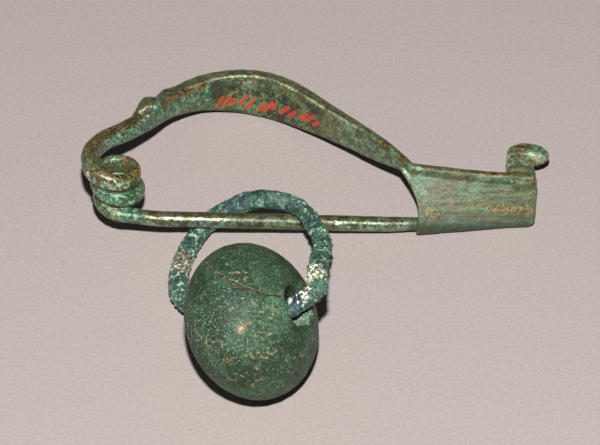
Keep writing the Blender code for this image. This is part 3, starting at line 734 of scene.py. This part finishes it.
# Tones of the crust: a noise mixes each pair
CRUST_TONES = (shade(52, 82, 74), shade(86, 122, 104))
CRUST_BLUE = shade(70, 92, 104)
CRUST_PALE = shade(112, 154, 128)
ROSY_TONES = (shade(124, 100, 90), shade(176, 172, 156))
ROSY_DARK = shade(124, 74, 62)
CRUST_WHITE = shade(166, 190, 168)
CRUST_BROWN = shade(108, 82, 58)
CRUST_SPECK = shade(26, 40, 38)
# Painted shade in the crust's creases
CRUST_CREVICE_SHADE = shade(18, 26, 24)
CRUST_EDGE = shade(140, 172, 150)
BARE_TONES = (shade(104, 118, 98), shade(32, 50, 64))
BARE_GLINT_WHITE = shade(226, 226, 208)
# White flecks painted on the shiny end as glints
BARE_YELLOW = shade(186, 180, 122)
GRAIN_TONES = (shade(50, 78, 68), shade(104, 138, 116))


def make_ring():
    skin = Skin("ring", "ring_crust", RING_VOXEL, RING_ROUNDS)
    place = skin.points.copy()
    x, y, z = place.T / MM
    path = np.array(RING_LINE + RING_LINE[:1]) * MM
    along = skin.spread(line_distance(place, path)[1] / MM, ALONG_ROUNDS)
    # Twisted ribs on the near side, a groove across them, and a rough crust
    near = smoothstep(*NEAR_X, x) * smoothstep(*NEAR_Y, y)
    left = smoothstep(*LEFT_X, x)
    ribs = np.abs(np.sin(pi * (along / RIB_PITCH + (x + z) * RIB_SLANT)))
    cut = np.exp(-((line_distance(place / MM, CUT)[0] / CUT_WIDTH) ** 2))
    lumps = fractal(place, size=2.2 * MM, octaves=3, seed=11) * LUMPS
    lumps = lumps + fractal(place, size=0.7 * MM, octaves=3, seed=12) * FINE_LUMPS
    nodules = smoothstep(0.42, 0.1, cells(place, size=0.85 * MM, seed=13))
    gritty = 0.35 + 0.65 * np.maximum(near, left)
    twist = (ribs - RIB_LEVEL) * RIB_HEIGHT * near * smoothstep(*RIBS_Y, y)
    skin.push((lumps - CRUST_SUNK + nodules * NODULES * gritty + twist - cut * CUT_DEPTH) * MM)
    edge = skin.edge_sign(RING_EDGE_ROUNDS) / MM
    grit = np.clip(near * 0.9 + left * 0.35 + smoothstep(*BACK_Y, y) * 0.3 + 0.06, 0, 1)
    skin.give(
        place=skin.points, edge=edge, near=near, left=left, glossy=field(place, *GLOSSY),
        blue=field(place, *BLUE), pink=field(place, *PINK), grit=grit * smoothstep(*OFF_FLOOR, z))
    piece = skin.done(crust())
    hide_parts("ring")
    strew(skin, "ring_grains", grain_surface(),
          per_mm2=0.9, least=0.12 * MM, greatest=0.34 * MM, seed=5)
    return piece


def crust():
    m = Maths("corroded_bronze")
    place = m.attribute("place", "Vector")
    edge, near, left = m.attribute("edge"), m.attribute("near"), m.attribute("left")
    broad = m.noise(place, size=3.4 * MM, detail=4, rough=0.6, warp=0.5)
    blots = m.noise(place, size=1.3 * MM, detail=4, rough=0.65, warp=0.6, offset=(0.02, 0.03, 0))
    stains = m.noise(place, size=0.9 * MM, detail=3, rough=0.6)
    specks = m.noise(place, size=0.55 * MM, detail=3, rough=0.65)
    fine = m.noise(place, size=0.26 * MM, detail=2, rough=0.6, offset=(0.01, 0.02, 0))
    ragged = specks * 0.9 + blots * 0.9 - 0.9
    blue = m.attribute("blue")
    colour = m.mix(*CRUST_TONES, m.band(broad, 0.4, 0.6))
    colour = m.mix(colour, CRUST_BLUE, m.band(blue + ragged * 1.4, 0.1, 0.5) * 0.7)
    colour = m.mix(colour, CRUST_PALE, m.band(blots, 0.53, 0.66) * 0.75)
    pink = m.band(m.attribute("pink") + ragged * 1.6, 0.0, 0.35)
    rosy = m.mix(*ROSY_TONES, m.band(specks, 0.5, 0.62))
    colour = m.mix(colour, m.mix(rosy, ROSY_DARK, m.band(blots, 0.54, 0.66)), pink * 0.85)
    whitish = m.band(blots + specks * 0.4, 0.74, 0.86) * (near * 0.5 + left * 0.8 + 0.2)
    colour = m.mix(colour, CRUST_WHITE, whitish)
    colour = m.mix(colour, CRUST_BROWN, m.band(stains, 0.6, 0.68) * near * 0.7)
    colour = m.mix(colour, CRUST_SPECK, m.band(specks, 0.45, 0.36) * (near * 0.3 + 0.6))
    # Painted shade in the crust's creases
    colour = m.mix(colour, CRUST_CREVICE_SHADE, m.band(edge, -0.01, -0.07) * 0.85)
    colour = m.mix(colour, CRUST_EDGE, m.band(edge, 0.03, 0.09) * 0.45)
    # The bare shiny end at the bead, with white flecks painted on as glints
    gloss = m.band(m.attribute("glossy") + ragged * 0.9, -0.05, 0.25)
    bare = m.mix(*BARE_TONES, m.band(blue, -0.5, 0.1))
    bare = m.mix(bare, BARE_GLINT_WHITE, m.band(blots + specks * 0.2, 0.59, 0.63))
    bare = m.mix(bare, BARE_YELLOW, m.band(broad, 0.5, 0.56) * 0.5)
    colour = m.mix(colour, bare, gloss * 0.9)
    sharp = specks * 3.6 + fine * 3.4
    colour = m.lit(colour, blots * 2.4 + sharp * (1 - gloss * 0.6) + gloss * 2.45 - 4.35)
    normal = m.bump(specks * 0.7 + fine * 0.5, distance=0.22 * MM, strength=1.0)
    rough = 0.38 + fine * 0.2 - gloss * 0.22
    return m.set(Base_Color=colour, Roughness=rough, Metallic=0.08, Normal=normal, Specular_IOR_Level=0.7)


def grain_surface():
    m = Maths("corrosion_grains")
    place = m.object_place()
    colour = m.mix(*GRAIN_TONES, m.band(m.noise(place, size=1.3 * MM, detail=3, rough=0.6), 0.4, 0.62))
    fine = m.noise(place, size=0.2 * MM, detail=3, rough=0.6)
    normal = m.bump(fine, distance=0.05 * MM, strength=0.8)
    return m.set(Base_Color=colour, Roughness=0.42 + fine * 0.2, Normal=normal)


# The bead
# The seam across its upper half, and the tan blob with its tail: points in the bead's own frame, with
# z along the bore, in mm
SEAM = (
    (5.4, 11.5, -2.8), (3.3, 12.6, -1.2), (1.2, 13.1, 0.3), (-0.8, 12.8, 2.4), (-2.0, 11.8, 4.3),
    (-2.8, 10.4, 5.8), (-2.9, 8.9, 7.2), (-2.7, 7.0, 8.3), (-1.8, 5.1, 9.2), (-1.0, 4.0, 9.4),
    (0.2, 2.4, 9.2))
BLOB = (
    (-9.2, 7.7, 4.2), (-8.9, 7.7, 4.7))
BLOB_TAIL = (
    (-8.9, 7.7, 4.7), (-8.2, 7.7, 5.4), (-7.9, 7.4, 5.9))
TAIL_THINNER = 0.45
# Crescent marks: centre and radius in mm, and the way that the middle of each arc lies, in radians
MARKS = (
    ((-10.3, 8.1, -1.1), 0.9, 1.7), ((-10.8, 7.6, 0.1), 0.7, -1.2), ((-12.0, 5.4, 0.5), 0.7, 2.8),
    ((-11.0, 3.6, 4.9), 1.0, 1.4), ((-10.7, 2.1, 5.6), 0.6, 2.2), ((-9.6, 2.0, 6.7), 0.9, 2.6),
    ((-8.9, -2.0, 7.3), 0.5, 0.5), ((-6.3, -4.2, 8.3), 0.7, 1.4), ((-13.0, 1.9, -0.7), 0.8, 2.6),
    ((-12.7, -0.5, 2.8), 0.6, 3.0), ((-13.0, -1.7, 1.5), 0.5, 0.8), ((6.4, 10.3, 4.0), 0.9, 0.3),
    ((-0.7, 11.6, 4.8), 0.7, 0.2), ((-1.3, 10.2, 6.3), 0.6, 1.0), ((-5.0, 5.3, 8.4), 0.6, -0.8))
MARK_STROKE = 0.17
MARK_HALF_ARC = 1.1
MARK_REACH = 3.0
# The crystal patch, the chip at the bore's rim and the lighter patch, partly a painted sheen: places and
# radii in mm
GRIT = (((-8.0, 9.2, 2.5), (7.5, 5.6, 7.5)), ((-4.0, 8.5, 7.0), (4.0, 4.5, 3.0)))
CHIP = ((0.5, -3.3, 7.4), (3.4, 2.0, 2.4))
LIGHTER_AND_SHEEN_PATCH = ((-4.4, 4.4, 9.4), (5.0, 4.5, 4.0))
# Where the bore's painted shade and the chip at its rim begin, by the distance from the axis and by the
# height, in mm
BORE = (4.2, 3.7)
BORE_HEIGHT = (7.4, 6.4)
CHIP_RIM = (4.1, 3.6)
# Sizes of the weathered surface, in mm
WAVES = 0.07
FINE_WAVES = 0.014
GLASS_PITS = 0.05
SEAM_WIDTH = 0.2
SEAM_DEPTH = 0.08
SEAM_SOFT = 0.15
CLEAR_OF_SEAM = (0.6, 1.2)
GLASS_SUNK = 0.05

# Tones of the glass: a noise mixes each pair
GLASS_TONES = (shade(44, 66, 48), shade(64, 92, 70))
GLASS_ABOVE = shade(76, 100, 74)
GLASS_OLIVE = shade(92, 90, 58)
# Lighter glass by the bore, partly a painted sheen
GLASS_LIGHTER_AND_SHEEN = shade(100, 134, 108)
GLASS_DOTS = shade(140, 118, 82)
MARK_TONES = (shade(128, 110, 78), shade(200, 180, 142))
SEAM_EDGE = shade(132, 120, 88)
SEAM_DEEP = shade(22, 28, 18)
# Painted shade down the bore
BORE_SHADE_TONE = shade(36, 52, 40)
CHIP_TONE = shade(120, 144, 124)
CRYSTAL_TONES = (shade(120, 148, 130), shade(222, 230, 212))


def bead_points(points):
    """Points in the bead's own frame, with z along the bore, as the solid has it."""
    turn = np.array(Vector(BEAD_AXIS).to_track_quat("Z", "Y").to_matrix())
    return (points - np.array(BEAD_CENTRE)) @ turn


def arc_distance(place, centre, radius, turn):
    """Distance from a crescent on the surface: about a third of a circle round a centre."""
    out = np.array(centre) / np.linalg.norm(centre)
    side = np.cross(out, (0, 0, 1))
    side /= np.linalg.norm(side)
    other = np.cross(out, side)
    u, v = (place - centre) @ side, (place - centre) @ other
    bend = (np.arctan2(v, u) - turn + pi) % (2 * pi) - pi
    bend = np.clip(bend, -MARK_HALF_ARC, MARK_HALF_ARC) + turn
    flat = np.hypot(u - radius * np.cos(bend), v - radius * np.sin(bend))
    return np.where(np.linalg.norm(place - centre, axis=1) < MARK_REACH, flat, MARK_REACH)


def seam_side(place):
    """1 above the seam, 0 below it, over the seam's stretch."""
    path = np.array(SEAM)
    near = np.argmin(np.linalg.norm(place[:, None, :] - path[None, ::2, :], axis=2), axis=1) * 2
    ahead = path[np.minimum(near + 1, len(path) - 1)] - path[np.maximum(near - 1, 0)]
    across = np.cross(ahead, place / np.linalg.norm(place, axis=1)[:, None])
    return smoothstep(SEAM_SOFT, -SEAM_SOFT, np.einsum("ij,ij->i", place - path[near], across) / 2)


def make_bead():
    skin = Skin("bead", "bead_glass", BEAD_VOXEL, BEAD_ROUNDS)
    place = bead_points(skin.points) / MM
    seam = line_distance(place, SEAM)[0]
    marks = np.min([arc_distance(place, *mark) for mark in MARKS], axis=0)
    blob = np.minimum(line_distance(place, BLOB)[0], line_distance(place, BLOB_TAIL)[0] + TAIL_THINNER)
    waves = fractal(place, size=6, octaves=2, seed=21) * WAVES
    waves = waves + fractal(place, size=1.2, octaves=2, seed=22) * FINE_WAVES
    pits = smoothstep(0.3, 0.1, cells(place, size=0.8, seed=23)) * GLASS_PITS
    groove = SEAM_DEPTH * np.exp(-((seam / SEAM_WIDTH) ** 2))
    skin.push((waves - pits - GLASS_SUNK - groove) * MM)
    above = seam_side(place)
    patch = field(place * MM, *GRIT)
    grit = smoothstep(-0.2, 0.6, patch) * 0.9 + 0.05 * smoothstep(-1.0, 0.2, patch)
    from_axis = np.hypot(place[:, 0], place[:, 1])
    skin.give(
        place=skin.points, seam=seam, marks=marks, blob=blob, above=above,
        bore=smoothstep(*BORE, from_axis) * smoothstep(*BORE_HEIGHT, place[:, 2]),
        chip=smoothstep(*CHIP_RIM, from_axis) * field(place * MM, CHIP),
        grit=grit * (1 - above) * smoothstep(*CLEAR_OF_SEAM, seam), lighter=field(place * MM, LIGHTER_AND_SHEEN_PATCH))
    piece = skin.done(glass())
    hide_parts("bead")
    strew(skin, "bead_crystals", crystal_surface(),
          per_mm2=6.0, least=0.06 * MM, greatest=0.2 * MM, seed=9)
    return piece


def glass():
    m = Maths("weathered_glass")
    place = m.attribute("place", "Vector")
    broad = m.noise(place, size=7 * MM, detail=4, rough=0.6, warp=0.4)
    blots = m.noise(place, size=2.2 * MM, detail=4, rough=0.65, warp=0.4, offset=(0.02, 0.03, 0))
    specks = m.noise(place, size=0.5 * MM, detail=3, rough=0.65)
    fine = m.noise(place, size=0.24 * MM, detail=2, rough=0.6, offset=(0.03, 0.02, 0))
    dots = m.noise(place, size=0.9 * MM, detail=3, rough=0.6, offset=(0.05, 0.02, 0))
    colour = m.mix(*GLASS_TONES, m.band(broad, 0.38, 0.64))
    colour = m.mix(colour, GLASS_ABOVE, m.attribute("above") * m.band(blots, 0.4, 0.6) * 0.4)
    colour = m.mix(colour, GLASS_OLIVE, m.band(blots, 0.58, 0.74) * 0.35)
    # A lighter patch by the bore, partly paler glass and partly a painted sheen
    colour = m.mix(colour, GLASS_LIGHTER_AND_SHEEN, m.band(m.attribute("lighter"), 0.0, 0.7) * 0.45)
    colour = m.mix(colour, GLASS_DOTS, m.band(dots + specks * 0.3, 0.8, 0.85) * 0.8)
    # The tan crescents and the blob
    tan = m.mix(*MARK_TONES, m.band(fine + specks, 0.9, 1.15))
    ragged = (specks - 0.5) * 1.3 + (fine - 0.5) * 0.9
    marks = m.attribute("marks") + ragged + (dots - 0.5) * 0.8
    colour = m.mix(colour, tan, m.band(marks, MARK_STROKE * 1.4, MARK_STROKE * 0.5) * 0.85)
    colour = m.mix(colour, tan, m.band(m.attribute("blob") + ragged * 1.3, 0.95, 0.45) * 0.7)
    # The seam, painted shade down the bore, and its chipped rim
    seam = m.attribute("seam")
    colour = m.mix(colour, SEAM_EDGE, m.band(seam + ragged * 0.5 + blots, 0.92, 0.72) * 0.5)
    colour = m.mix(colour, SEAM_DEEP, m.band(seam + ragged * 0.12, 0.2, 0.1) * 0.8)
    # Painted shade down the bore
    colour = m.mix(colour, BORE_SHADE_TONE, m.attribute("bore") * 0.9)
    chip = m.band(m.attribute("chip") + ragged * 0.6, 0.1, 0.4)
    colour = m.mix(colour, CHIP_TONE, chip)
    colour = m.lit(colour, specks * 4.6 + fine * 5.8 + dots * 1.6 - 5.85)
    normal = m.bump(specks * 0.7 + fine * 0.6, distance=0.1 * MM, strength=1.0)
    rough = 0.5 + fine * 0.12 - chip * 0.2
    return m.set(Base_Color=colour, Roughness=rough, Normal=normal, Specular_IOR_Level=0.4)


def crystal_surface():
    m = Maths("white_crystals")
    place = m.object_place()
    colour = m.mix(*CRYSTAL_TONES, m.band(m.noise(place, size=0.8 * MM, detail=3, rough=0.6), 0.42, 0.58))
    fine = m.noise(place, size=0.15 * MM, detail=2, rough=0.6)
    normal = m.bump(fine, distance=0.03 * MM, strength=0.6)
    return m.set(Base_Color=colour, Roughness=0.3 + fine * 0.1, Normal=normal)


# The stage
FLOOR_SIZE = 2
FLOOR_DROP = 0.02 * MM
FLOOR_TONES = (shade(188, 176, 172), shade(200, 188, 184))
# Name, place and size in metres, power in watts and colour of each light; both look at the origin
LIGHTS = (
    ("flash", (-0.004, -0.345, 0.575), 0.022, 5.05, (1.0, 0.985, 0.965)),
    ("fill", (-0.5, -0.1, 0.6), 0.5, 0.06, (0.95, 0.98, 1.0)))
SKY_COLOUR = (0.9, 0.95, 1.0, 1)
SKY_STRENGTH = 0.018
SENSOR_WIDTH = 36
LENS = 246.1
CAMERA_RISE = radians(49)
CAMERA_DISTANCE = 0.7
LOOKED_AT = (-2.93, 4.45, 3.95)


def make_floor():
    bpy.ops.mesh.primitive_plane_add(size=FLOOR_SIZE, location=(0, 0, -FLOOR_DROP))
    floor = bpy.context.object
    floor.name = "floor"
    m = Maths("pale_floor")
    grain = m.noise(m.object_place(), size=0.5 * MM, detail=4, rough=0.7)
    colour = m.mix(*FLOOR_TONES, m.band(grain, 0.35, 0.65))
    normal = m.bump(grain, distance=0.05 * MM, strength=0.3)
    floor.data.materials.append(m.set(Base_Color=colour, Roughness=0.9, Normal=normal))
    return floor


def make_light(name, place, size, power, colour):
    data = bpy.data.lights.new(name, "AREA")
    data.size = size
    data.energy = power
    data.color = colour
    light = put(name, data)
    light.location = place
    light.rotation_euler = Vector(place).to_track_quat("Z", "Y").to_euler()
    return light


def make_camera():
    data = bpy.data.cameras.new("camera")
    data.sensor_width = SENSOR_WIDTH
    data.lens = LENS
    camera = put("camera", data)
    away = Vector((0, -cos(CAMERA_RISE), sin(CAMERA_RISE))) * CAMERA_DISTANCE
    camera.location = Vector(LOOKED_AT) * MM + away
    camera.rotation_euler = (pi / 2 - CAMERA_RISE, 0, 0)
    bpy.context.scene.camera = camera


def make_stage():
    floor = make_floor()
    lights = [make_light(*light) for light in LIGHTS]
    world = bpy.data.worlds.new("sky")
    world.use_nodes = True
    background = world.node_tree.nodes["Background"]
    background.inputs["Color"].default_value = SKY_COLOUR
    background.inputs["Strength"].default_value = SKY_STRENGTH
    bpy.context.scene.world = world
    bpy.context.scene.view_settings.view_transform = "Standard"
    make_camera()


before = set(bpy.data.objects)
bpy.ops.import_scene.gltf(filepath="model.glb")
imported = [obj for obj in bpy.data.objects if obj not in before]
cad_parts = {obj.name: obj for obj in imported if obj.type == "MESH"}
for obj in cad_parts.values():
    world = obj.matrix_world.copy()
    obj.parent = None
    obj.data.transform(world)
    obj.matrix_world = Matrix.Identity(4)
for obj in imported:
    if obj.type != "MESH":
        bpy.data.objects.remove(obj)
before = [list(v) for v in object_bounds()]
make_fibula()
make_ring()
make_bead()
make_stage()
